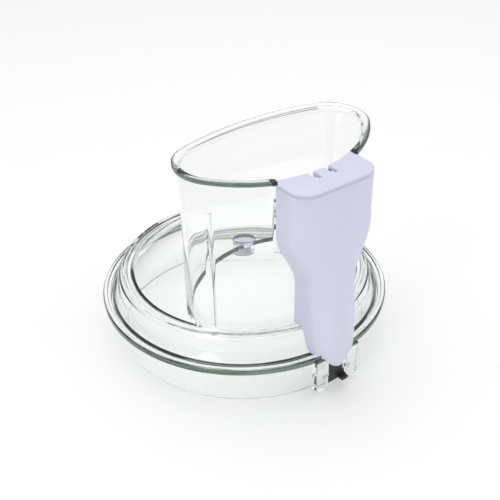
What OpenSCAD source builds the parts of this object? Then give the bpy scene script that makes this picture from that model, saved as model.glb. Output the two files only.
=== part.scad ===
// Clear working lid of a food processor: wide feed chute, interlock trigger and spindle bearing.
// Millimetres. +Z is up, the trigger is towards -Y, and the origin is the mouth of the spindle bearing's bore.

/* [Lid] */
// Radius of the flange that rests on the bowl
flange_r = 100; // [80:1:120]
// Thickness of the flange
flange_t = 3.5; // [2:0.5:6]
// Width of the flange outside the skirt that plugs into the bowl
ledge = 6.2; // [4:0.1:12]
// How far the skirt hangs below the flange
skirt_drop = 29.7; // [10:0.1:45]
// How much narrower the skirt is at its lower edge
skirt_taper = 4.3; // [0:0.1:8]
// Height of the shoulder ring above the flange's underside
crest_h = 20; // [12:1:30]
// Distance from the flange's edge in to the edge where the shoulder ring meets the deck
shoulder = 22; // [20:0.5:30]
// Rise of the domed deck from that edge to the lid's axis
dome_rise = 28.5; // [22:0.5:36]
// Thickness of the clear walls
wall = 3; // [2:0.1:5]

/* [Feed chute] */
// Distance from the lid's axis to the middle of the chute's back wall
chute_back = 8.2; // [8:0.1:20]
// Radius of the back wall's gentle curve
chute_bow = 200; // [130:5:400]
// Radius of the chute's two rounded ends
chute_corner = 21; // [10:1:26]
// Height of the rim at the front, above the flange's underside
rim_front = 124; // [90:1:150]
// Height of the rim at the back
rim_back = 128; // [90:1:155]
// How far the flared lip stands out from the wall
lip_out = 3.4; // [2:0.1:8]
// Depth of the lip
lip_h = 3.5; // [3:0.5:8]

/* [Trigger cover] */
// Half the width of the cover's upper part
cover_top_half = 30; // [22:0.5:36]
// Half the width of its lower column
cover_col_half = 17.5; // [12:0.5:22]
// How far the cover's front at the top stands in from the flange's edge
cover_inset = 2.5; // [0:0.1:6]
// How far the tongue stands out from the flange's edge
tongue_out = 2.6; // [2.3:0.1:6]
// Height at which the column's sides start to flare outwards
flare_low = 50; // [35:1:65]
// Height at which the sides reach their full width
flare_high = 88; // [70:1:100]
// How far the tongue hangs below the flange's underside
tongue_drop = 8; // [3:0.5:12]
// Wall of the cover
cover_wall = 1.8; // [1.2:0.1:3]
// Thickness of the cap
cap_t = 2.5; // [1.5:0.1:4]
// Width of each of the two notches in the cap
notch_w = 3.8; // [3:0.1:6]
// Half the distance between the two notches
notch_x = 6; // [4:0.5:10]

/* [Trigger mechanism] */
// Radius of the push rod's round stem
rod_r = 2.5; // [1.5:0.1:4]
// Travel of the push rod
travel = 5; // [2:0.5:7]
// Radius of the return spring's coil, at the middle of its wire
coil_r = 4.2; // [3:0.1:6]
// Radius of the spring's wire
wire_r = 0.5; // [0.3:0.05:0.8]
// Number of turns
turns = 7; // [4:1:12]
// Half the width of the black actuator plate
plate_half = 7.5; // [5:0.5:10]
// Height of the actuator plate
plate_h = 20; // [10:0.5:24]
// Half the width of the clear foot
foot_half = 17.5; // [12:0.5:22]
// How far the foot hangs below the flange's underside
foot_drop = 24.5; // [12:0.5:28]

/* [Spindle bearing] */
// Radius of the bearing's bore
bore_r = 4; // [3:0.1:5]
// Depth of the bore
bore_l = 9; // [6:0.5:10]
// Radius of the bearing's barrel
barrel_r = 5.4; // [5:0.1:8]
// Radius of the bearing's flange
bush_flange_r = 7.6; // [6:0.1:9]

/* [Fits] */
// Gap between pieces that sit side by side
gap = 0.3; // [0.1:0.05:0.6]
// Radial gap of a close fit
fit = 0.05; // [0.02:0.01:0.1]

/* [Hidden] */
// Node to draw, or all
// Every separate piece
$fn = 128;
skirt_r = flange_r - ledge;
deck_r = flange_r - shoulder;
chute_r = deck_r + 0.5;
cover_front = flange_r - cover_inset;
tongue_front = flange_r + tongue_out;
deck_t = wall - 0.2;
dome_r = (deck_r * deck_r + dome_rise * dome_rise) / (2 * dome_rise);
dome_z = crest_h - 1 + dome_rise - dome_r;
bush_flange_t = 3.2;
// The bearing's top lies level with the underside of the dome
mouth_h = crest_h - 1 + dome_rise - deck_t - bush_flange_t - bore_l;
// Centres of the chute's rounded ends, tangent to the front wall and the back wall
bow_y = -(chute_back + chute_bow);
corner_y = (pow(chute_r - chute_corner, 2) - pow(chute_bow - chute_corner, 2) + bow_y * bow_y) / (2 * bow_y);
corner_x = sqrt(pow(chute_r - chute_corner, 2) - corner_y * corner_y);
rim_slope = atan((rim_back - rim_front) / (chute_r - chute_back));
cap_top = rim_front - 2.2;
cap_low = cap_top - cap_t;
recess_z = mouth_h + bore_l;
foot_front = flange_r + gap;
rod_y = -(chute_r + cover_front - cover_wall) / 2 - 1;
shelf_low = 58;
shelf_high = 98;
clip_z = 88;
leg_front = tongue_front - cover_wall - 2;
leg_back = leg_front - 2.8;
foot_back = leg_back;
cap_corner = 12;
rib_turn = 51;
crank_z = crest_h + travel + 2;
plate_top = -2.5;
plate_y0 = -(leg_back + 2.6);
plate_y1 = -(leg_back + 0.2);
peg_z = plate_top - plate_h * 0.62;
clear = "#dfe6e4"; lavender = "#b9b9dc"; black = "#15161a"; steel = "#b8bcc0"; white = "#ecebf2";

// Moves a piece from the flange's underside to the origin at the bearing's mouth
module seat() translate([0, 0, -mouth_h]) children();

// Plan outline of the chute, drawn in by an amount; a negative amount grows it
module chute_outline(inset = 0) {
    for (s = [-1, 1]) translate([s * corner_x, corner_y]) circle(r = chute_corner - inset);
    intersection() {
        circle(r = chute_r - inset, $fn = 180);
        translate([0, bow_y]) circle(r = chute_bow - inset, $fn = 360);
        union() {
            polygon([[0, 0], [corner_x * 3, corner_y * 3], [-corner_x * 3, corner_y * 3]]);
            translate([0, bow_y]) polygon([[0, 0], [corner_x * 2, (corner_y - bow_y) * 2],
                [-corner_x * 2, (corner_y - bow_y) * 2]]);
        }
    }
}

// Everything below the sloping rim, lowered by an amount
module under_rim(drop = 0) translate([0, -chute_r, rim_front - drop]) rotate([rim_slope, 0, 0])
    translate([-150, -150, -200]) cube([300, 300, 200]);

// Half-section of the flange, skirt and shoulder ring
module ring_section() polygon([
    [deck_r - 1, crest_h - 0.6], [deck_r, crest_h - 1], [deck_r + 3.6, crest_h - 0.8],
    [deck_r + 4.2, crest_h], [deck_r + 7, crest_h], [deck_r + 9.5, crest_h - 3],
    [deck_r + 11.5, crest_h / 2], [skirt_r - 0.8, flange_t + 0.8], [skirt_r + 1.2, flange_t],
    [flange_r - 3.4, flange_t], [flange_r - 3, flange_t + 0.9], [flange_r - 0.8, flange_t + 0.9],
    [flange_r, flange_t], [flange_r, 0], [skirt_r, 0], [skirt_r, -5],
    [skirt_r - skirt_taper, -skirt_drop], [skirt_r - skirt_taper - wall + 0.4, -skirt_drop],
    [skirt_r - wall, -5], [skirt_r - wall, 2], [deck_r + 8.5, crest_h / 2 - 1],
    [deck_r + 6.6, crest_h - 4.4], [deck_r + 5.4, crest_h - wall], [deck_r, crest_h - wall - 1],
    [deck_r - 1, crest_h - wall - 0.6]]);

// Space taken by the lid and chute, grown by the gap, for the cover to clear
module lid_space() rotate_extrude($fn = 180) polygon([
    [0, -60], [skirt_r + gap, -60], [skirt_r + gap, -gap], [flange_r + gap, -gap],
    [flange_r + gap, flange_t + 0.9 + gap], [skirt_r + 1.2, flange_t + 0.9 + gap],
    [skirt_r - 0.3, flange_t + 1.4], [deck_r + 12, crest_h / 2], [deck_r + 10, crest_h - 2.8],
    [deck_r + 7.4, crest_h + gap], [deck_r + 3.9, crest_h + gap], [chute_r + gap, crest_h + gap],
    [chute_r + gap, 300], [0, 300]]);

// Clear lid with its spindle socket and foot
module lid_body() color(clear, 0.4) seat() difference() {
    union() {
        rotate_extrude($fn = 180) ring_section();
        intersection() {
            difference() {
                translate([0, 0, dome_z]) sphere(r = dome_r, $fn = 180);
                translate([0, 0, dome_z]) sphere(r = dome_r - deck_t, $fn = 180);
            }
            cylinder(r = deck_r, h = 80, $fn = 180);
        }
        translate([0, 0, mouth_h + 0.5]) cylinder(r = bush_flange_r + 0.1, h = 12);
        translate([0, 0, recess_z - 3]) cylinder(r = bush_flange_r + 0.5, h = 7);
        foot();
    }
    // hole that the chute stands in
    linear_extrude(120) chute_outline();
    // counterbore and hole for the bearing, pushed in from above
    translate([0, 0, recess_z]) cylinder(r = bush_flange_r + fit, h = 20);
    translate([0, 0, 20]) cylinder(r = barrel_r + fit, h = 40);
    // notch in the flange that the rod's leg passes
    translate([-4.4, -flange_r - 1, -2]) cube([8.8, flange_r + 1 - leg_back + gap, flange_t + 4]);
}

// Clear foot with the actuator's window, open at the bottom
module foot() difference() {
    union() {
        translate([-foot_half, -foot_front, -foot_drop + 3])
            cube([2 * foot_half, foot_front - foot_back, foot_drop - 3 + flange_t / 2]);
        foot_lower_edge();
    }
    translate([-plate_half - gap, -foot_front - 1, -foot_drop - 1])
        cube([2 * plate_half + 2 * gap, foot_front, foot_drop + 1 - 1.2]);
    for (s = [-1, 1]) translate([s * (plate_half + 1.4), -(foot_front + foot_back) / 2, peg_z])
        rotate([0, 90, 0]) cylinder(r = 1.3 + fit, h = 5 + 2 * gap, center = true, $fn = 48);
}

// Lower edge of the foot with its two rounded corners
module foot_lower_edge() translate([0, -foot_back, 0]) rotate([90, 0, 0])
    linear_extrude(foot_front - foot_back) {
        for (s = [-1, 1]) translate([s * (foot_half - 3), -foot_drop + 3]) circle(r = 3, $fn = 48);
        translate([-foot_half + 3, -foot_drop]) square([2 * foot_half - 6, 4]);
    }

// Clear chute, its flared lip, its guide rib and the two shelves that guide the rod
module feed_chute() color(clear, 0.4) seat() difference() {
    union() {
        intersection() {
            linear_extrude(200) chute_outline();
            under_rim();
        }
        // lip, left out where the cap closes the front
        difference() {
            intersection() {
                linear_extrude(200) chute_outline(-lip_out);
                under_rim();
            }
            under_rim(lip_h);
            translate([-cover_top_half - gap, -150, 0]) cube([2 * (cover_top_half + gap), 100, 200]);
        }
        for (z = [shelf_low, shelf_high]) translate([-8, rod_y - 5.6, z])
            cube([16, -rod_y + 5.6 - chute_r + 2, 2.4]);
    }
    difference() {
        translate([0, 0, -1]) linear_extrude(220) chute_outline(wall);
        // low guide rib of triangular section inside the front wall, left of the trigger
        rotate([0, 0, -rib_turn]) translate([0, -chute_r + wall, crest_h])
            linear_extrude(rim_front - 22 - crest_h) polygon([[-5.8, -1.5], [5.8, -1.5], [0, 1.3]]);
    }
    translate([0, 0, dome_z]) sphere(r = dome_r - deck_t, $fn = 180);
    // seat of the cap
    translate([-cover_top_half - gap, -150, cap_low]) cube([2 * (cover_top_half + gap), 100, 60]);
    // notches under the cap for the pusher's ribs
    for (s = [-1, 1]) translate([s * notch_x - notch_w / 2, -chute_r - 6, cap_low - 10])
        cube([notch_w, 20, 20]);
    for (z = [shelf_low, shelf_high]) translate([0, rod_y, z - 1]) cylinder(r = rod_r + fit, h = 5, $fn = 64);
}

// Front view of the cover, drawn in by an amount
module cover_front_view(inset = 0) {
    w1 = cover_top_half - inset;
    w0 = cover_col_half - inset;
    steps = 12;
    top = cap_low;
    polygon(concat(
        [[w1, top + 5]],
        [for (i = [0:steps]) let (t = i / steps, e = (1 - cos(180 * t)) / 2)
            [w1 + (w0 - w1) * e, flare_high + (flare_low - flare_high) * t]],
        [for (i = [0:8]) let (a = i * 90 / 8)
            [w0 * cos(a), -(tongue_drop + 3 - inset) * sin(a) + 3]],
        [for (i = [8:-1:0]) let (a = i * 90 / 8)
            [-w0 * cos(a), -(tongue_drop + 3 - inset) * sin(a) + 3]],
        [for (i = [steps:-1:0]) let (t = i / steps, e = (1 - cos(180 * t)) / 2)
            [-w1 - (w0 - w1) * e, flare_high + (flare_low - flare_high) * t]],
        [[-w1, top + 5]]));
}

// Side view of the cover as [y, z], drawn in by an amount
module cover_side_view(inset = 0) polygon([
    [-60, -40], [-tongue_front + inset, -40], [-tongue_front + inset, 16],
    [-tongue_front + 1.1 + inset, 32], [-cover_front - 1 + inset, 70], [-cover_front + inset, 95],
    [-cover_front + inset, 200], [-60, 200]]);

// Solid body of the cover, drawn in by an amount
module cover_body(inset = 0) intersection() {
    translate([0, 0, -60]) linear_extrude(300) {
        cap_outline(inset);
        translate([-cover_top_half + cap_corner, -tongue_front - 5])
            square([2 * (cover_top_half - cap_corner), 40]);
    }
    translate([0, -60, 0]) rotate([90, 0, 0]) linear_extrude(60) cover_front_view(inset);
    translate([-60, 0, 0]) rotate([90, 0, 90]) linear_extrude(120) cover_side_view(inset);
}

// Lavender cover, open at the back against the chute
module trigger_cover() color(lavender, 0.8) seat() difference() {
    intersection() {
        cover_body();
        translate([-60, -150, -40]) cube([120, 150, 40 + cap_low]);
    }
    cover_body(cover_wall);
    translate([-cover_col_half, -tongue_front + cover_wall, -40])
        cube([2 * cover_col_half, 30, 40 - gap]);
    // room for the top of the foot, whose corners stand out past the round flange
    translate([-foot_half - 2, -foot_front - gap, -1]) cube([2 * foot_half + 4, 12, 1 + flange_t / 2 + gap]);
    lid_space();
}

// Plan outline of the cap with rounded front corners, drawn in by an amount
module cap_outline(inset = 0) {
    r = cap_corner;
    x0 = cover_top_half - r;
    y0 = -cover_front;
    for (s = [-1, 1]) translate([s * x0, y0 + r]) circle(r = r - inset, $fn = 64);
    translate([-x0, y0 + inset]) square([2 * x0, 20]);
    translate([-cover_top_half + inset, y0 + r]) square([2 * (cover_top_half - inset), 40]);
}

// Lavender cap with two notches open to the chute
module cover_cap() color(lavender) seat() difference() {
    translate([0, 0, cap_low]) linear_extrude(cap_t) cap_outline();
    cylinder(r = chute_r - wall, h = 300, $fn = 180);
    for (s = [-1, 1]) translate([s * notch_x - notch_w / 2, -chute_r - 5.5, 0]) cube([notch_w, 40, 300]);
}

// Lavender flanged bush, blind, with its bore open downwards
module spindle_bearing() color(lavender) difference() {
    union() {
        cylinder(r = barrel_r, h = bore_l + 1);
        translate([0, 0, bore_l]) cylinder(r = bush_flange_r, h = bush_flange_t);
    }
    translate([0, 0, -1]) cylinder(r = bore_r, h = bore_l + 1);
}

// Rod that the pusher presses down: two horns, a stem, a crank over the shoulder and a leg
module push_rod() color(white) seat() difference() {
    union() {
        translate([-notch_x - 1.8, rod_y - rod_r, cap_low - 9]) cube([2 * notch_x + 3.6, 2 * rod_r, 4]);
        for (s = [-1, 1]) translate([s * notch_x - 1.5, rod_y - rod_r, cap_low - 9])
            cube([3, -rod_y + rod_r - chute_r - 1, 7]);
        translate([0, rod_y, crank_z]) cylinder(r = rod_r, h = cap_low - 7 - crank_z, $fn = 64);
        translate([-3.8, -leg_front, crank_z]) cube([7.6, leg_front + rod_y + rod_r, 4]);
        translate([-3.8, -leg_front, plate_top]) cube([7.6, leg_front - leg_back, crank_z + 1 - plate_top]);
        translate([-2, plate_y0 + 0.7, plate_top - 4]) cube([4, plate_y1 - plate_y0 - 1.4, 5]);
    }
    // groove for the clip
    translate([0, rod_y, clip_z]) difference() {
        cylinder(r = rod_r + 1, h = 1, $fn = 64);
        translate([0, 0, -1]) cylinder(r = rod_r - 0.6, h = 3, $fn = 64);
    }
}

// Split steel ring in the rod's groove, on top of the spring
module rod_clip() color(steel) seat() translate([0, rod_y, clip_z + fit]) difference() {
    cylinder(r = coil_r + 0.8, h = 1 - 2 * fit, $fn = 64);
    translate([0, 0, -1]) cylinder(r = rod_r - 0.6 + fit, h = 3, $fn = 64);
    translate([-1.4, 0, -1]) cube([2.8, 10, 3]);
}

// Point on the spring's wire centre line, from 0 at the shelf to 1 at the clip
function coil_at(t) = let (a = 360 * turns * t) [coil_r * cos(a), coil_r * sin(a),
    shelf_low + 2.4 + wire_r + gap / 2 + t * (clip_z - shelf_low - 2.4 - 2 * wire_r - gap)];

// Compression spring between the lower shelf and the clip
module return_spring() color(steel) seat() translate([0, rod_y, 0]) {
    rings = turns * 14;
    sides = 8;
    pts = [for (i = [0:rings]) let (t = i / rings, a = 360 * turns * t, c = coil_at(t))
        for (j = [0:sides - 1]) let (b = 360 * j / sides)
            c + wire_r * [cos(a) * cos(b), sin(a) * cos(b), sin(b)]];
    faces = concat(
        [[for (j = [0:sides - 1]) j]],
        [for (i = [0:rings - 1]) for (j = [0:sides - 1])
            [i * sides + j, (i + 1) * sides + j, (i + 1) * sides + (j + 1) % sides,
             i * sides + (j + 1) % sides]],
        [[for (j = [sides - 1:-1:0]) rings * sides + j]]);
    polyhedron(points = pts, faces = faces, convexity = 10);
}

// Black plate in the foot's window, with a guide slot in each edge and an outward lug
module actuator() color(black) seat() difference() {
    union() {
        translate([-plate_half, plate_y0, plate_top - plate_h])
            cube([2 * plate_half, plate_y1 - plate_y0, plate_h - 0.05]);
        translate([plate_half - 5, -tongue_front, plate_top - plate_h])
            cube([5, tongue_front + plate_y1, 2.4]);
    }
    // slots that the two pegs run in over the whole travel
    for (s = [-1, 1]) translate([s * plate_half - 1.6, plate_y0 - 1, peg_z - 1.3 - gap])
        cube([3.2, 10, 2.6 + 2 * gap + travel]);
    // mortise for the rod's tenon
    translate([-2 - fit, plate_y0 + 0.7 - fit, plate_top - 4.2])
        cube([4 + 2 * fit, plate_y1 - plate_y0 - 1.4 + 2 * fit, 6]);
}

// Two clear pegs pressed into the foot beside the plate
module guide_pegs() color(clear) seat() for (s = [-1, 1])
    translate([s * (plate_half + 1.4), -(foot_front + foot_back) / 2, peg_z]) rotate([0, 90, 0])
        cylinder(r = 1.3, h = 5, center = true, $fn = 48);

lid_body();
feed_chute();
trigger_cover();
cover_cap();
spindle_bearing();
push_rod();
rod_clip();
return_spring();
actuator();
guide_pegs();
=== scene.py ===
import math

import bmesh
import bpy
from mathutils import Matrix, Vector


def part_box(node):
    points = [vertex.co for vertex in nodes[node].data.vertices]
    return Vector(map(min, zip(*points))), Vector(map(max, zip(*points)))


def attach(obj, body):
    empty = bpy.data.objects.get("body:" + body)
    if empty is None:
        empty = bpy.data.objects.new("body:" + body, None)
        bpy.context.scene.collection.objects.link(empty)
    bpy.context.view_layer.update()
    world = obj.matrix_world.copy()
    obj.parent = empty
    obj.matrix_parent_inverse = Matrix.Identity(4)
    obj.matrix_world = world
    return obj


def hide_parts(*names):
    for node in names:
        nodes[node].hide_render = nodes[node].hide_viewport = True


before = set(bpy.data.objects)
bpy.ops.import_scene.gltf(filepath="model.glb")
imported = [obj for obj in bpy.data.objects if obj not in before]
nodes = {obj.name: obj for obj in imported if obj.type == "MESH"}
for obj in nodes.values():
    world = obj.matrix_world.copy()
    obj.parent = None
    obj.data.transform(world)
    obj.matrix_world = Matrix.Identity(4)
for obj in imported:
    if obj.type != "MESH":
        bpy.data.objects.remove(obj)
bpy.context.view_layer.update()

# ---------------------------------------------------------------- clear moulding: lid body
# The lid is one clear injection moulding: a flange that rests on the bowl, a skirt that plugs
# into it, a raised shoulder ring and a domed deck. The section below is turned about the axis,
# and the chute, the foot and the bearing's socket are joined to it as they come from the mould.
MM = 0.001
lid_low, lid_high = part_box("lid_body")
chute_low, chute_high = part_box("feed_chute")
cover_low, cover_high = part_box("trigger_cover")
cap_low, cap_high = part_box("cover_cap")
plate_low, plate_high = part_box("actuator")
bush_low, bush_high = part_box("spindle_bearing")

flange_r = lid_high.x
foot_front = -lid_low.y
skirt_low = lid_low.z
seat = skirt_low + 29.7 * MM
skirt_r = flange_r - 6.2 * MM
skirt_end_r = skirt_r - 4.3 * MM
deck_r = 78 * MM
crest = seat + 20 * MM
wall = 3 * MM
deck_t = 2.8 * MM
dome_rise = 28.5 * MM
dome_r = (deck_r**2 + dome_rise**2) / (2 * dome_rise)
dome_z = crest - 1 * MM + dome_rise - dome_r


def piece(name, bm, smooth_angle=40):
    """Turns a bmesh into a smooth-shaded object with crisp edges above the given angle."""
    bmesh.ops.recalc_face_normals(bm, faces=bm.faces)
    mesh = bpy.data.meshes.new(name)
    bm.to_mesh(mesh)
    bm.free()
    obj = bpy.data.objects.new(name, mesh)
    bpy.context.scene.collection.objects.link(obj)
    mesh.shade_smooth()
    mesh.set_sharp_from_angle(angle=math.radians(smooth_angle))
    return obj


def rounded(points, radii, steps=4):
    """Rounds the corners of a closed outline: each corner becomes a short arc of its radius."""
    out = []
    n = len(points)
    for i, p in enumerate(points):
        r = radii[i] if isinstance(radii, (list, tuple)) else radii
        a, b = Vector(points[i - 1]), Vector(points[(i + 1) % n])
        p = Vector(p)
        if r <= 0:
            out.append(p)
            continue
        u, v = (a - p).normalized(), (b - p).normalized()
        turn = u.angle(v)
        if turn > math.radians(176):
            out.append(p)
            continue
        reach = min(r / math.tan(turn / 2), (a - p).length * 0.45, (b - p).length * 0.45)
        for k in range(steps + 1):
            t = k / steps
            out.append((p + u * reach) * (1 - t) ** 2 + p * 2 * t * (1 - t) + (p + v * reach) * t**2)
    return out


def turned(section, steps=192):
    """Spins a closed section of (radius, height) points about the axis into a ring."""
    bm = bmesh.new()
    verts = [bm.verts.new((r, 0, z)) for r, z in section]
    edges = [bm.edges.new((verts[i], verts[(i + 1) % len(verts)])) for i in range(len(verts))]
    bmesh.ops.spin(bm, geom=verts + edges, cent=(0, 0, 0), axis=(0, 0, 1), angle=math.tau,
                   steps=steps, use_merge=True)
    bmesh.ops.remove_doubles(bm, verts=bm.verts, dist=1e-6)
    return bm


def join_solid(target, tool, operation="UNION"):
    """Joins or cuts one solid with another, and removes the tool."""
    mod = target.modifiers.new(operation, "BOOLEAN")
    mod.operation = operation
    mod.solver = "EXACT"
    mod.object = tool
    bpy.context.view_layer.objects.active = target
    with bpy.context.temp_override(object=target, active_object=target):
        bpy.ops.object.modifier_apply(modifier=mod.name)
    bpy.data.objects.remove(tool)
    return target


def raise_face(bm, face, way):
    """Extrudes a flat face into a solid, and gives back the far face's corners."""
    far = bmesh.ops.extrude_face_region(bm, geom=[face])
    corners = [v for v in far["geom"] if isinstance(v, bmesh.types.BMVert)]
    bmesh.ops.translate(bm, verts=corners, vec=way)
    return corners


def box_bm(lo, hi):
    """A box between two corners."""
    bm = bmesh.new()
    bmesh.ops.create_cube(bm, size=1)
    bmesh.ops.scale(bm, verts=bm.verts, vec=Vector(hi) - Vector(lo))
    bmesh.ops.translate(bm, verts=bm.verts, vec=(Vector(lo) + Vector(hi)) / 2)
    return bm


# section of the ring: (radius, height), from the deck's edge over the shoulder and down the skirt
dome_steps = 22
dome_end = math.asin((deck_r - 0.6 * MM) / dome_r)
dome_out = [(dome_r * math.sin(a), dome_z + dome_r * math.cos(a))
            for a in (dome_end * i / dome_steps for i in range(1, dome_steps + 1))]
dome_in_r = dome_r - deck_t
dome_in = [(dome_in_r * math.sin(a), dome_z + dome_in_r * math.cos(a))
           for a in (dome_end * i / dome_steps for i in range(dome_steps, 0, -1))]
ring = [
    (deck_r + 0.6 * MM, crest - 1.2 * MM), (deck_r + 3.4 * MM, crest - 1.2 * MM),
    (deck_r + 4.2 * MM, crest - 0.02 * MM), (deck_r + 7.0 * MM, crest - 0.02 * MM),
    (deck_r + 9.5 * MM, crest - 3.0 * MM), (deck_r + 11.5 * MM, seat + 10 * MM),
    (skirt_r - 0.8 * MM, seat + 4.3 * MM), (skirt_r + 1.2 * MM, seat + 3.5 * MM),
    (flange_r - 3.4 * MM, seat + 3.5 * MM), (flange_r - 2.9 * MM, seat + 4.35 * MM),
    (flange_r - 0.9 * MM, seat + 4.35 * MM), (flange_r - 0.05 * MM, seat + 3.4 * MM),
    (flange_r - 0.05 * MM, seat), (skirt_r, seat), (skirt_r, seat - 5 * MM),
    (skirt_end_r, skirt_low), (skirt_end_r - 2.6 * MM, skirt_low),
    (skirt_r - wall, seat - 5 * MM), (skirt_r - wall, seat + 2 * MM),
    (deck_r + 8.5 * MM, seat + 9 * MM), (deck_r + 6.6 * MM, crest - 4.4 * MM),
    (deck_r + 5.2 * MM, crest - 3.2 * MM), (deck_r + 1.0 * MM, crest - 4.0 * MM),
]
ring_round = [0.6, 0.8, 0.8, 1.6, 1.6, 3, 1.2, 1.2, 0.4, 0.5, 0.8, 0.8, 0.5, 0.8, 2, 0.8, 0.8, 2,
              3, 3, 2, 1.5, 2]
ring_outline = rounded(ring, [r * MM for r in ring_round])
section = [Vector(p) for p in dome_out] + ring_outline + [Vector(p) for p in dome_in]
bm = bmesh.new()
verts = [bm.verts.new((p[0], 0, p[1])) for p in section]
edges = [bm.edges.new((verts[i], verts[i + 1])) for i in range(len(verts) - 1)]
bmesh.ops.spin(bm, geom=verts + edges, cent=(0, 0, 0), axis=(0, 0, 1), angle=math.tau,
               steps=224, use_merge=True)
bmesh.ops.remove_doubles(bm, verts=bm.verts, dist=1e-6)
bmesh.ops.holes_fill(bm, edges=[e for e in bm.edges if e.is_boundary], sides=0)
clear_body = piece("clear_moulding", bm, 30)

# ---------------------------------------------------------------- clear moulding: feed chute
# The chute stands on the deck in front of the axis: a gently bowed back, two rounded ends and a
# front wall on the lid's own circle. Its sloping rim is flared outwards and rounded over, and a
# low guide rib for the pusher runs down the inside on the left.
chute_r = 78.5 * MM
chute_back = 8.2 * MM
bow_r = 200 * MM
corner_r = 21 * MM
bow_y = -(chute_back + bow_r)
corner_y = ((chute_r - corner_r) ** 2 - (bow_r - corner_r) ** 2 + bow_y**2) / (2 * bow_y)
corner_x = math.sqrt((chute_r - corner_r) ** 2 - corner_y**2)
rim_front = seat + 124 * MM
rim_back = chute_high.z
lip_out = 3.4 * MM
cap_half = cap_high.x


def chute_outline(grow=0.0, front_steps=56, corner_steps=26, back_steps=16):
    """Plan outline of the chute, grown outwards by an amount, anticlockwise from the left."""
    turn = math.atan2(corner_y, corner_x)
    bow = math.atan2(corner_y - bow_y, corner_x)
    pts = []
    for i in range(front_steps):
        a = math.pi - turn + (math.pi + 2 * turn) * i / front_steps
        pts.append(((chute_r + grow) * math.cos(a), (chute_r + grow) * math.sin(a)))
    for i in range(corner_steps):
        a = turn + (bow - turn) * i / corner_steps
        pts.append((corner_x + (corner_r + grow) * math.cos(a), corner_y + (corner_r + grow) * math.sin(a)))
    for i in range(back_steps):
        a = bow + (math.pi - 2 * bow) * i / back_steps
        pts.append(((bow_r + grow) * math.cos(a), bow_y + (bow_r + grow) * math.sin(a)))
    for i in range(corner_steps):
        a = math.pi - bow + (bow - turn) * i / corner_steps
        pts.append((-corner_x + (corner_r + grow) * math.cos(a), corner_y + (corner_r + grow) * math.sin(a)))
    return pts


def rim_z(y):
    """Height of the sloping rim at a given distance from the axis."""
    return rim_front + (rim_back - rim_front) * (y + chute_r) / (chute_r - chute_back + lip_out)


def chute_loft(levels):
    """Bridges outlines of the chute, each given as its growth and a height that varies with y."""
    bm = bmesh.new()
    loops = []
    for grow, height in levels:
        ring_v = []
        for x, y in chute_outline(grow):
            ring_v.append(bm.verts.new((x, y, height(y))))
        loops.append([bm.edges.new((ring_v[i], ring_v[(i + 1) % len(ring_v)])) for i in range(len(ring_v))])
    for a, b in zip(loops, loops[1:]):
        bmesh.ops.bridge_loops(bm, edges=a + b)
    bmesh.ops.bridge_loops(bm, edges=loops[-1] + loops[0])
    return bm


def flat(z):
    """A level outline."""
    return lambda y: z


def rim(drop):
    """An outline that follows the rim, lowered by an amount."""
    return lambda y: rim_z(y) - drop


lip_levels = [
    (0, flat(seat + 12 * MM)), (0, flat(seat + 60 * MM)), (0, rim(4.6 * MM)), (0.4 * MM, rim(3.9 * MM)),
    (1.2 * MM, rim(3.5 * MM)), (2.3 * MM, rim(3.35 * MM)), (3.1 * MM, rim(2.8 * MM)),
    (3.35 * MM, rim(1.9 * MM)), (3.2 * MM, rim(0.9 * MM)), (2.5 * MM, rim(0.3 * MM)),
    (1.4 * MM, rim(0.05 * MM)), (0.2 * MM, rim(0.2 * MM)), (-1.2 * MM, rim(0.8 * MM)),
    (-2.3 * MM, rim(2.2 * MM)), (-2.8 * MM, rim(4.2 * MM)),
    (-wall, rim(6.5 * MM)), (-wall, flat(seat + 60 * MM)), (-wall, flat(seat + 12 * MM)),
]
bm = chute_loft(lip_levels)
chute = piece("chute_wall", bm)
bm = bmesh.new()
ring_v = [bm.verts.new((x, y, seat + 5 * MM)) for x, y in chute_outline(0)]
face = bm.faces.new(ring_v)
raise_face(bm, face, (0, 0, 60 * MM))
join_solid(clear_body, piece("chute_hole", bm), "DIFFERENCE")

# the lower end of the chute follows the deck's underside
bm = bmesh.new()
bmesh.ops.create_uvsphere(bm, u_segments=160, v_segments=120, radius=dome_in_r)
bmesh.ops.translate(bm, verts=bm.verts, vec=(0, 0, dome_z))
join_solid(chute, piece("under_deck", bm), "DIFFERENCE")
# seat for the cap across the front, with two notches for the pusher's ribs
above_rim = rim_back + 20 * MM
notch_x, notch_half = 6 * MM, 1.9 * MM
seat_box = box_bm((-cap_half - 0.3 * MM, -120 * MM, cap_low.z - 0.02 * MM),
                  (cap_half + 0.3 * MM, -60 * MM, above_rim))
join_solid(chute, piece("cap_seat", seat_box), "DIFFERENCE")
for side in (-1, 1):
    notch_box = box_bm((side * notch_x - notch_half, -84 * MM, cap_low.z - 10 * MM),
                       (side * notch_x + notch_half, -60 * MM, above_rim))
    join_solid(chute, piece("notch", notch_box), "DIFFERENCE")
# guide rib, low and of triangular section
rib_turn = math.radians(-51)
bm = bmesh.new()
rib = [(-5.8, -1.5), (5.8, -1.5), (0.8, 0.88), (0.3, 1.08), (-0.3, 1.08), (-0.8, 0.88)]
face = bm.faces.new([bm.verts.new((x * MM, -chute_r + wall + y * MM, seat + 20.2 * MM))
                     for x, y in rib])
raise_face(bm, face, (0, 0, 81.6 * MM))
bmesh.ops.rotate(bm, verts=bm.verts, cent=(0, 0, 0), matrix=Matrix.Rotation(rib_turn, 3, "Z"))
join_solid(chute, piece("guide_rib", bm))
join_solid(clear_body, chute)

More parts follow.
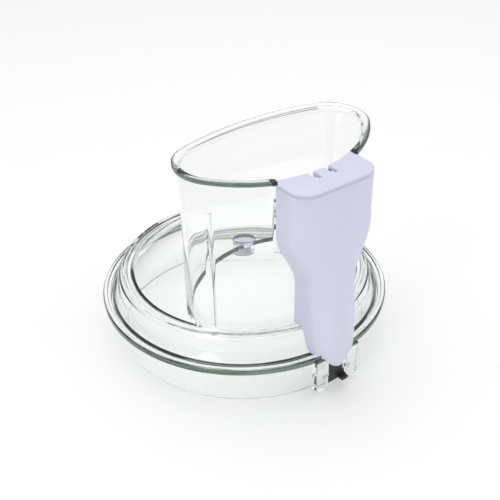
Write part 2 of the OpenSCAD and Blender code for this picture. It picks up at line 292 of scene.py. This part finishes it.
# ---------------------------------------------------------------- clear moulding: foot and socket
# The foot hangs from the flange in front and carries the actuator in an open-bottomed window.
# The socket under the crown of the deck holds the spindle bearing. Both are part of the lid.
foot_half = 17.5 * MM
window_half = 7.8 * MM
foot_back = 96.0 * MM
foot_low = seat - 24.5 * MM
bm = bmesh.new()
outline = rounded([(-foot_half, seat + 1.2 * MM), (-foot_half, foot_low), (-window_half, foot_low),
                   (-window_half, seat - 1.2 * MM), (window_half, seat - 1.2 * MM),
                   (window_half, foot_low), (foot_half, foot_low), (foot_half, seat + 1.2 * MM)],
                  [0, 3 * MM, 0.6 * MM, 0.8 * MM, 0.8 * MM, 0.6 * MM, 3 * MM, 0], 6)
face = bm.faces.new([bm.verts.new((x, -foot_back, z)) for x, z in outline])
raise_face(bm, face, (0, foot_back - foot_front + 0.02 * MM, 0))
join_solid(clear_body, piece("foot", bm))
socket = [(bush_high.x + 0.1 * MM, bush_low.z + 0.5 * MM), (bush_high.x + 0.1 * MM, bush_low.z + 12 * MM),
          (5.45 * MM, bush_low.z + 12 * MM), (5.45 * MM, bush_low.z + 0.5 * MM)]
join_solid(clear_body, piece("socket", turned(rounded(socket, 0.4 * MM), 96)))
bm = bmesh.new()
recess_r = bush_high.x + 0.05 * MM
bmesh.ops.create_cone(bm, cap_ends=True, segments=96, radius1=recess_r, radius2=recess_r, depth=12 * MM)
bmesh.ops.translate(bm, verts=bm.verts, vec=(0, 0, bush_low.z + 9 * MM + 6 * MM))
join_solid(clear_body, piece("bearing_recess", bm), "DIFFERENCE")
leg_box = box_bm((-4.4 * MM, -flange_r - 1 * MM, seat - 2 * MM),
                 (4.4 * MM, -foot_back + 0.3 * MM, seat + 6 * MM))
join_solid(clear_body, piece("leg_notch", leg_box), "DIFFERENCE")
clear_body.data.shade_smooth()
clear_body.data.set_sharp_from_angle(angle=math.radians(32))


def new_material(name):
    """An empty node material: its tree, Principled shader and output."""
    mat = bpy.data.materials.new(name)
    mat.use_nodes = True
    tree = mat.node_tree
    return mat, tree, tree.nodes["Principled BSDF"], tree.nodes["Material Output"]


def surface_wear():
    """Node group: fine moulding ripple, handling smudges and dust, as masks and a height."""
    group = bpy.data.node_groups.new("moulding_surface", "ShaderNodeTree")
    face = group.interface
    for label, value in (("Ripple Scale", 60.0), ("Smudge Scale", 14.0), ("Grain Scale", 900.0),
                         ("Grain", 0.3)):
        face.new_socket(label, in_out="INPUT", socket_type="NodeSocketFloat").default_value = value
    for label in ("Height", "Smudge"):
        face.new_socket(label, in_out="OUTPUT", socket_type="NodeSocketFloat")
    n, link = group.nodes, group.links.new
    given, made = n.new("NodeGroupInput"), n.new("NodeGroupOutput")
    coords = n.new("ShaderNodeTexCoord")
    ripple, smudge, grain = (n.new("ShaderNodeTexNoise") for _ in range(3))
    for tex, label, detail in ((ripple, "Ripple Scale", 2), (smudge, "Smudge Scale", 5),
                               (grain, "Grain Scale", 3)):
        tex.inputs["Detail"].default_value = detail
        link(coords.outputs["Object"], tex.inputs["Vector"])
        link(given.outputs[label], tex.inputs["Scale"])
    part = n.new("ShaderNodeMath")
    part.operation = "MULTIPLY"
    link(grain.outputs["Fac"], part.inputs[0])
    link(given.outputs["Grain"], part.inputs[1])
    total = n.new("ShaderNodeMath")
    total.operation = "ADD"
    link(ripple.outputs["Fac"], total.inputs[0])
    link(part.outputs[0], total.inputs[1])
    link(total.outputs[0], made.inputs["Height"])
    ramp = n.new("ShaderNodeMapRange")
    ramp.inputs["From Min"].default_value = 0.42
    ramp.inputs["From Max"].default_value = 0.72
    link(smudge.outputs["Fac"], ramp.inputs["Value"])
    link(ramp.outputs[0], made.inputs["Smudge"])
    return group


wear = surface_wear()


def add_wear(tree, shader, low, high, bump, **scales):
    """Places the moulding group in a material: smudges raise the roughness, ripple bends the light."""
    g = tree.nodes.new("ShaderNodeGroup")
    g.node_tree = wear
    for key, value in scales.items():
        g.inputs[key.replace("_", " ")].default_value = value
    rough = tree.nodes.new("ShaderNodeMapRange")
    rough.inputs["To Min"].default_value = low
    rough.inputs["To Max"].default_value = high
    tree.links.new(g.outputs["Smudge"], rough.inputs["Value"])
    tree.links.new(rough.outputs[0], shader.inputs["Roughness"])
    bend = tree.nodes.new("ShaderNodeBump")
    bend.inputs["Strength"].default_value = bump
    bend.inputs["Distance"].default_value = 0.0004
    tree.links.new(g.outputs["Height"], bend.inputs["Height"])
    tree.links.new(bend.outputs[0], shader.inputs["Normal"])


clear_plastic, tree, shader, out_node = new_material("clear_plastic")
# painted shade: the lip's outer edge gets a dark green base colour that stands in for the dark band the
# clear walls show there;
# it is kept to faces near the rim that look away from the chute's middle
coords = tree.nodes.new("ShaderNodeTexCoord")
split = tree.nodes.new("ShaderNodeSeparateXYZ")
tree.links.new(coords.outputs["Object"], split.inputs[0])
slope = (rim_back - rim_front) / (chute_r - chute_back + lip_out)
below = tree.nodes.new("ShaderNodeMath")
below.operation = "MULTIPLY_ADD"
below.inputs[1].default_value = -slope
tree.links.new(split.outputs["Y"], below.inputs[0])
tree.links.new(split.outputs["Z"], below.inputs[2])
near_rim = tree.nodes.new("ShaderNodeMapRange")
near_rim.inputs["From Min"].default_value = rim_front + slope * chute_r - 3.9 * MM
near_rim.inputs["From Max"].default_value = rim_front + slope * chute_r - 3.2 * MM
tree.links.new(below.outputs[0], near_rim.inputs["Value"])
spoke = tree.nodes.new("ShaderNodeVectorMath")
spoke.operation = "SUBTRACT"
spoke.inputs[1].default_value = (0, -43 * MM, rim_front + slope * 35 * MM - 2 * MM)
tree.links.new(coords.outputs["Object"], spoke.inputs[0])
length_one = tree.nodes.new("ShaderNodeVectorMath")
length_one.operation = "NORMALIZE"
tree.links.new(spoke.outputs[0], length_one.inputs[0])
facing_out = tree.nodes.new("ShaderNodeVectorMath")
facing_out.operation = "DOT_PRODUCT"
tree.links.new(length_one.outputs[0], facing_out.inputs[0])
tree.links.new(coords.outputs["Normal"], facing_out.inputs[1])
outer = tree.nodes.new("ShaderNodeMapRange")
outer.inputs["From Min"].default_value = 0.1
outer.inputs["From Max"].default_value = 0.45
tree.links.new(facing_out.outputs["Value"], outer.inputs["Value"])
mask = tree.nodes.new("ShaderNodeMath")
mask.operation = "MULTIPLY"
tree.links.new(near_rim.outputs[0], mask.inputs[0])
tree.links.new(outer.outputs[0], mask.inputs[1])
# painted shade: the flange's upright edge gets the same dark base colour, standing in for the dark band
# along it
plan = tree.nodes.new("ShaderNodeVectorMath")
plan.operation = "MULTIPLY"
plan.inputs[1].default_value = (1, 1, 0)
tree.links.new(coords.outputs["Object"], plan.inputs[0])
reach = tree.nodes.new("ShaderNodeVectorMath")
reach.operation = "LENGTH"
tree.links.new(plan.outputs[0], reach.inputs[0])
at_edge = tree.nodes.new("ShaderNodeMapRange")
at_edge.inputs["From Min"].default_value = flange_r - 0.9 * MM
at_edge.inputs["From Max"].default_value = flange_r - 0.4 * MM
tree.links.new(reach.outputs["Value"], at_edge.inputs["Value"])
above_seat = tree.nodes.new("ShaderNodeMath")
above_seat.operation = "GREATER_THAN"
above_seat.inputs[1].default_value = seat - 0.1 * MM
tree.links.new(split.outputs["Z"], above_seat.inputs[0])
flange_mask = tree.nodes.new("ShaderNodeMath")
flange_mask.operation = "MULTIPLY"
tree.links.new(at_edge.outputs[0], flange_mask.inputs[0])
tree.links.new(above_seat.outputs[0], flange_mask.inputs[1])
painted_shade_mask = tree.nodes.new("ShaderNodeMath")
painted_shade_mask.operation = "MAXIMUM"
tree.links.new(mask.outputs[0], painted_shade_mask.inputs[0])
tree.links.new(flange_mask.outputs[0], painted_shade_mask.inputs[1])
# painted shade: the base colour goes from clear to dark green on the lip's and flange's outer edges
painted_edge_shade = tree.nodes.new("ShaderNodeMix")
painted_edge_shade.data_type = "RGBA"
painted_edge_shade.inputs["A"].default_value = (0.985, 0.99, 0.985, 1)
painted_edge_shade.inputs["B"].default_value = (0.03, 0.055, 0.04, 1)
tree.links.new(painted_shade_mask.outputs[0], painted_edge_shade.inputs["Factor"])
tree.links.new(painted_edge_shade.outputs["Result"], shader.inputs["Base Color"])
shader.inputs["Transmission Weight"].default_value = 1.0
shader.inputs["IOR"].default_value = 1.57
add_wear(tree, shader, 0.0, 0.03, 0.05, Ripple_Scale=45.0, Smudge_Scale=16.0, Grain=0.0)
see_through = tree.nodes.new("ShaderNodeBsdfTransparent")
see_through.inputs["Color"].default_value = (0.965, 0.975, 0.97, 1)
path = tree.nodes.new("ShaderNodeLightPath")
either = tree.nodes.new("ShaderNodeMixShader")
tree.links.new(path.outputs["Is Shadow Ray"], either.inputs["Fac"])
tree.links.new(shader.outputs[0], either.inputs[1])
tree.links.new(see_through.outputs[0], either.inputs[2])
tree.links.new(either.outputs[0], out_node.inputs["Surface"])
absorb = tree.nodes.new("ShaderNodeVolumeAbsorption")
absorb.inputs["Color"].default_value = (0.80, 0.93, 0.87, 1)
absorb.inputs["Density"].default_value = 9.0
tree.links.new(absorb.outputs[0], out_node.inputs["Volume"])
clear_body.data.materials.clear()
clear_body.data.materials.append(clear_plastic)
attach(clear_body, "lid")
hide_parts("lid_body", "feed_chute")

# ---------------------------------------------------------------- trigger cover and cap
# The housing over the push rod is a lavender, slightly translucent moulding. It is wide at the
# top, draws in to a column, and ends in a rounded tongue that laps over the flange. A separate
# cap closes its top, flush with the chute's inside, and has two notches for the pusher's ribs.
top_half = cap_high.x
col_half = 17.5 * MM
front_top = 97.5 * MM
front_low = -cover_low.y
cap_z = cap_low.z
flare_low, flare_high = seat + 50 * MM, seat + 88 * MM
tongue_z = cover_low.z


def cover_half(z):
    """Half width of the cover at a height."""
    if z >= flare_high:
        return top_half
    if z > flare_low:
        t = (flare_high - z) / (flare_high - flare_low)
        return top_half + (col_half - top_half) * (1 - math.cos(math.pi * t)) / 2
    if z >= seat + 3 * MM:
        return col_half
    return col_half * math.sqrt(max(0.0, 1 - ((seat + 3 * MM - z) / (seat + 3 * MM - tongue_z)) ** 2))


def cover_front(z):
    """Distance of the cover's front face from the axis at a height."""
    knots = [(tongue_z - 1, front_low), (seat + 16 * MM, front_low), (seat + 32 * MM, front_low - 1.1 * MM),
             (seat + 70 * MM, front_top + 1 * MM), (seat + 95 * MM, front_top), (cap_z + 1, front_top)]
    for (z0, f0), (z1, f1) in zip(knots, knots[1:]):
        if z <= z1:
            return f0 + (f1 - f0) * (z - z0) / (z1 - z0)
    return front_top


def cover_slice(z, inset, corner):
    """Plan outline of the cover at a height: an open U from the left side round the front."""
    w = max(cover_half(z) - inset, 0.3 * MM)
    f = cover_front(z) - inset
    r = min(corner, w * 0.98)
    back = 74 * MM
    pts = [(-w, -back - (f - r - back) * i / 8) for i in range(8)]
    for k in range(13):
        a = math.pi / 2 * k / 12
        pts.append((-w + r - r * math.cos(a), -f + r - r * math.sin(a)))
    pts += [(-(w - r) + 2 * (w - r) * i / 8, -f) for i in range(1, 8)]
    for k in range(13):
        a = math.pi / 2 * k / 12
        pts.append((w - r + r * math.sin(a), -f + r - r * math.cos(a)))
    pts += [(w, -f + r + (f - r - back) * i / 8) for i in range(1, 9)]
    return pts


def cover_solid(name, inset, corner, top, low):
    """Lofts the cover's slices into a closed solid."""
    heights = [top, top - 1.0 * MM]
    heights += [top - 1 * MM - (top - 1 * MM - seat - 3 * MM) * i / 60 for i in range(1, 60)]
    heights += [seat + 3 * MM - (seat + 3 * MM - low) * math.sin(math.pi / 2 * i / 14) for i in range(0, 14)]
    bm = bmesh.new()
    loops = []
    for z in heights:
        ring_v = [bm.verts.new((x, y, z)) for x, y in cover_slice(z, inset, corner)]
        loops.append([bm.edges.new((ring_v[i], ring_v[(i + 1) % len(ring_v)])) for i in range(len(ring_v))])
    for a, b in zip(loops, loops[1:]):
        bmesh.ops.bridge_loops(bm, edges=a + b)
    bmesh.ops.holes_fill(bm, edges=[e for e in bm.edges if e.is_boundary], sides=0)
    return piece(name, bm)


cover = cover_solid("trigger_housing", 0.02 * MM, 12 * MM, cap_z - 0.02 * MM, tongue_z + 0.2 * MM)
hollow = cover_solid("cover_hollow", 1.8 * MM, 10.2 * MM, cap_z + 5 * MM, tongue_z + 1.9 * MM)
join_solid(cover, hollow, "DIFFERENCE")
# the cover stands a small gap off the lid and the chute all round: this is their shape, grown
gap = 0.3 * MM
keep_out = [
    (0.5 * MM, seat - 60 * MM), (skirt_r + gap, seat - 60 * MM), (skirt_r + gap, seat - gap),
    (flange_r + gap, seat - gap), (flange_r + gap, seat + 4.7 * MM),
    (skirt_r + 1.2 * MM, seat + 4.7 * MM), (skirt_r - 0.3 * MM, seat + 4.9 * MM),
    (deck_r + 12 * MM, seat + 10 * MM), (deck_r + 10 * MM, crest - 2.8 * MM),
    (deck_r + 7.4 * MM, crest + gap), (chute_r + gap, crest + gap), (chute_r + gap, seat + 0.3),
    (0.5 * MM, seat + 0.3),
]
join_solid(cover, piece("lid_space", turned([Vector(p) for p in keep_out], 256)), "DIFFERENCE")
foot_box = box_bm((-col_half + 1.7 * MM, -front_low + 1.8 * MM, seat - 40 * MM),
                  (col_half - 1.7 * MM, -70 * MM, seat - gap))
join_solid(cover, piece("foot_space", foot_box), "DIFFERENCE")
foot_top_box = box_bm((-col_half - 2 * MM, -foot_front - gap, seat - 1 * MM),
                      (col_half + 2 * MM, -88 * MM, seat + 2.05 * MM))
join_solid(cover, piece("foot_top_space", foot_top_box), "DIFFERENCE")
cover.data.shade_smooth()
cover.data.set_sharp_from_angle(angle=math.radians(35))


def lavender(name, color, deep, low, high):
    """Translucent lavender plastic: soft scatter inside, satin outside."""
    mat, tree, shader, _ = new_material(name)
    tint = tree.nodes.new("ShaderNodeMix")
    tint.data_type = "RGBA"
    tint.inputs["A"].default_value = (*color, 1)
    tint.inputs["B"].default_value = (*deep, 1)
    coords = tree.nodes.new("ShaderNodeTexCoord")
    cloud = tree.nodes.new("ShaderNodeTexNoise")
    cloud.inputs["Scale"].default_value = 22.0
    cloud.inputs["Detail"].default_value = 3.0
    tree.links.new(coords.outputs["Object"], cloud.inputs["Vector"])
    tree.links.new(cloud.outputs["Fac"], tint.inputs["Factor"])
    tree.links.new(tint.outputs["Result"], shader.inputs["Base Color"])
    shader.inputs["Subsurface Weight"].default_value = 0.55
    shader.inputs["Subsurface Radius"].default_value = (1.0, 1.0, 1.15)
    shader.inputs["Subsurface Scale"].default_value = 0.004
    shader.inputs["IOR"].default_value = 1.46
    shader.inputs["Coat Weight"].default_value = 0.12
    shader.inputs["Coat Roughness"].default_value = 0.25
    add_wear(tree, shader, low, high, 0.12, Ripple_Scale=120.0, Smudge_Scale=30.0,
             Grain_Scale=2600.0, Grain=0.6)
    return mat


lavender_plastic = lavender("lavender_plastic", (0.72, 0.73, 0.92), (0.68, 0.69, 0.89), 0.34, 0.46)
cover.data.materials.clear()
cover.data.materials.append(lavender_plastic)
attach(cover, "lid")
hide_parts("trigger_cover")

cap_r = 12 * MM
bm = bmesh.new()
front = []
for k in range(13):
    a = math.pi / 2 * k / 12
    front.append((-top_half + cap_r - cap_r * math.cos(a), -front_top + cap_r - cap_r * math.sin(a)))
for k in range(13):
    a = math.pi / 2 * k / 12
    front.append((top_half - cap_r + cap_r * math.sin(a), -front_top + cap_r - cap_r * math.cos(a)))
inner_r = chute_r - wall


def on_inner(x):
    """Point of the cap's back edge, on the circle of the chute's inside."""
    return (x, -math.sqrt(inner_r**2 - x * x))


notch_back = -84 * MM
notch_out, notch_in = notch_x + notch_half, notch_x - notch_half
back = [on_inner(top_half - (top_half - notch_out) * i / 10) for i in range(11)]
back += [(notch_out, notch_back), (notch_in, notch_back)]
back += [on_inner(notch_in - 2 * notch_in * i / 6) for i in range(7)]
back += [(-notch_in, notch_back), (-notch_out, notch_back)]
back += [on_inner(-notch_out - (top_half - notch_out) * i / 10) for i in range(11)]
face = bm.faces.new([bm.verts.new((x, y, cap_z)) for x, y in front + back])
top_verts = raise_face(bm, face, (0, 0, cap_high.z - cap_z))
top_edges = [e for e in bm.edges if all(v in top_verts for v in e.verts)]
bmesh.ops.bevel(bm, geom=top_edges, offset=1.0 * MM, segments=4, profile=0.5, affect="EDGES", material=-1)
cap = piece("housing_cap", bm, 32)
cap_plastic = lavender("lavender_cap", (0.66, 0.66, 0.83), (0.62, 0.62, 0.80), 0.30, 0.42)
cap.data.materials.append(cap_plastic)
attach(cap, "lid")
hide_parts("cover_cap")

# ---------------------------------------------------------------- spindle bearing
# A lavender bush pressed into the socket at the crown of the deck. Its bore, open below, holds
# the top of the bowl's drive spindle.
bush_r, barrel_r, bore_r = bush_high.x, 5.4 * MM, 4 * MM
bore_top = bush_low.z + 9 * MM
profile = rounded([(bore_r, bush_low.z), (barrel_r, bush_low.z), (barrel_r, bore_top), (bush_r, bore_top),
                   (bush_r, bush_high.z), (0.4 * MM, bush_high.z), (0.4 * MM, bore_top), (bore_r, bore_top)],
                  [0.4 * MM, 0.4 * MM, 0.2 * MM, 0.3 * MM, 0.8 * MM, 0, 0, 0.3 * MM])
bm = turned(profile, 96)
inner = [f for f in bm.faces if all(math.hypot(v.co.x, v.co.y) < 0.41 * MM for v in f.verts)]
bmesh.ops.delete(bm, geom=inner, context="FACES")
bmesh.ops.holes_fill(bm, edges=[e for e in bm.edges if e.is_boundary], sides=0)
bush = piece("spindle_bush", bm, 35)
bush.data.materials.append(lavender("lavender_bearing", (0.60, 0.62, 0.78), (0.56, 0.58, 0.74), 0.28, 0.4))
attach(bush, "lid")
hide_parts("spindle_bearing")

# ---------------------------------------------------------------- actuator, pegs, rod, clip and spring
# The black plate in the foot is moulded in filled plastic and keeps its plain edges. The rod
# above it is white plastic, the clip and the spring are steel, and the pegs are clear.
black, tree, shader, _ = new_material("black_plastic")
shader.inputs["Base Color"].default_value = (0.012, 0.012, 0.014, 1)
add_wear(tree, shader, 0.38, 0.6, 0.25, Grain_Scale=1800.0, Grain=0.9)
white, tree, shader, _ = new_material("white_plastic")
shader.inputs["Base Color"].default_value = (0.80, 0.80, 0.87, 1)
add_wear(tree, shader, 0.35, 0.5, 0.15, Grain_Scale=1500.0, Grain=0.6)
steel, tree, shader, _ = new_material("spring_steel")
shader.inputs["Base Color"].default_value = (0.55, 0.56, 0.58, 1)
shader.inputs["Metallic"].default_value = 1.0
add_wear(tree, shader, 0.2, 0.4, 0.1, Grain_Scale=1200.0, Grain=0.4)
for node, mat in (("actuator", black), ("push_rod", white), ("rod_clip", steel), ("return_spring", steel),
                  ("guide_pegs", clear_plastic)):
    nodes[node].data.materials.clear()
    nodes[node].data.materials.append(mat)

# ---------------------------------------------------------------- stage, light and camera
# A plain pale floor under the lid, a broad soft light above and at each side, and
# dim surroundings behind the camera that darken the clear plastic's edges.
scene = bpy.context.scene
bm = bmesh.new()
bmesh.ops.create_circle(bm, cap_ends=True, segments=64, radius=3.0)
bmesh.ops.translate(bm, verts=bm.verts, vec=(0, 0, skirt_low - 0.0002))
floor = piece("floor", bm)
floor_paint, tree, shader, _ = new_material("floor_paint")
shader.inputs["Base Color"].default_value = (0.93, 0.93, 0.93, 1)
shader.inputs["Roughness"].default_value = 0.9
floor.data.materials.append(floor_paint)

world = bpy.data.worlds.new("studio")
scene.world = world
world.use_nodes = True
sky = world.node_tree
background = sky.nodes["Background"]
coords = sky.nodes.new("ShaderNodeTexCoord")
split = sky.nodes.new("ShaderNodeSeparateXYZ")
sky.links.new(coords.outputs["Generated"], split.inputs[0])
ramp = sky.nodes.new("ShaderNodeValToRGB")
ramp.color_ramp.elements[0].position = 0.0
ramp.color_ramp.elements[0].color = (0.04, 0.045, 0.045, 1)
ramp.color_ramp.elements[1].position = 0.45
ramp.color_ramp.elements[1].color = (1, 1, 1, 1)
sky.links.new(split.outputs["Z"], ramp.inputs["Fac"])
sky.links.new(ramp.outputs["Color"], background.inputs["Color"])
background.inputs["Strength"].default_value = 0.95

centre = Vector((0, 0, seat + 30 * MM))
for name, spot, size, power in (
    ("overhead", (0.1, 0.1, 1.3), 1.0, 3.0),
    ("left_window", (-1.1, -0.5, 0.7), 0.6, 2.0),
    ("right_window", (0.7, -1.1, 0.8), 0.5, 0.8),
):
    lamp = bpy.data.lights.new(name, "AREA")
    lamp.shape = "DISK"
    lamp.size = size
    lamp.energy = power
    holder = bpy.data.objects.new(name, lamp)
    scene.collection.objects.link(holder)
    holder.location = spot
    holder.rotation_euler = (centre - Vector(spot)).to_track_quat("-Z", "Y").to_euler()

turn, rise, roll = math.radians(-36), math.radians(35.06), math.radians(-1.47)
towards = Vector((math.sin(turn) * math.cos(rise), -math.cos(turn) * math.cos(rise), math.sin(rise)))
camera = bpy.data.cameras.new("camera")
eye = bpy.data.objects.new("camera", camera)
scene.collection.objects.link(eye)
aim = Vector((0, 0, seat))
eye.location = aim + towards * 0.600
view = (-towards).to_track_quat("-Z", "Y")
eye.rotation_euler = (view.to_matrix() @ Matrix.Rotation(roll, 3, "Z")).to_euler()
camera.lens = 60.2
camera.shift_x = 0.0118
camera.shift_y = 0.0664
camera.clip_start = 0.01
scene.camera = eye
scene.view_settings.view_transform = "Standard"
scene.view_settings.exposure = 0.0
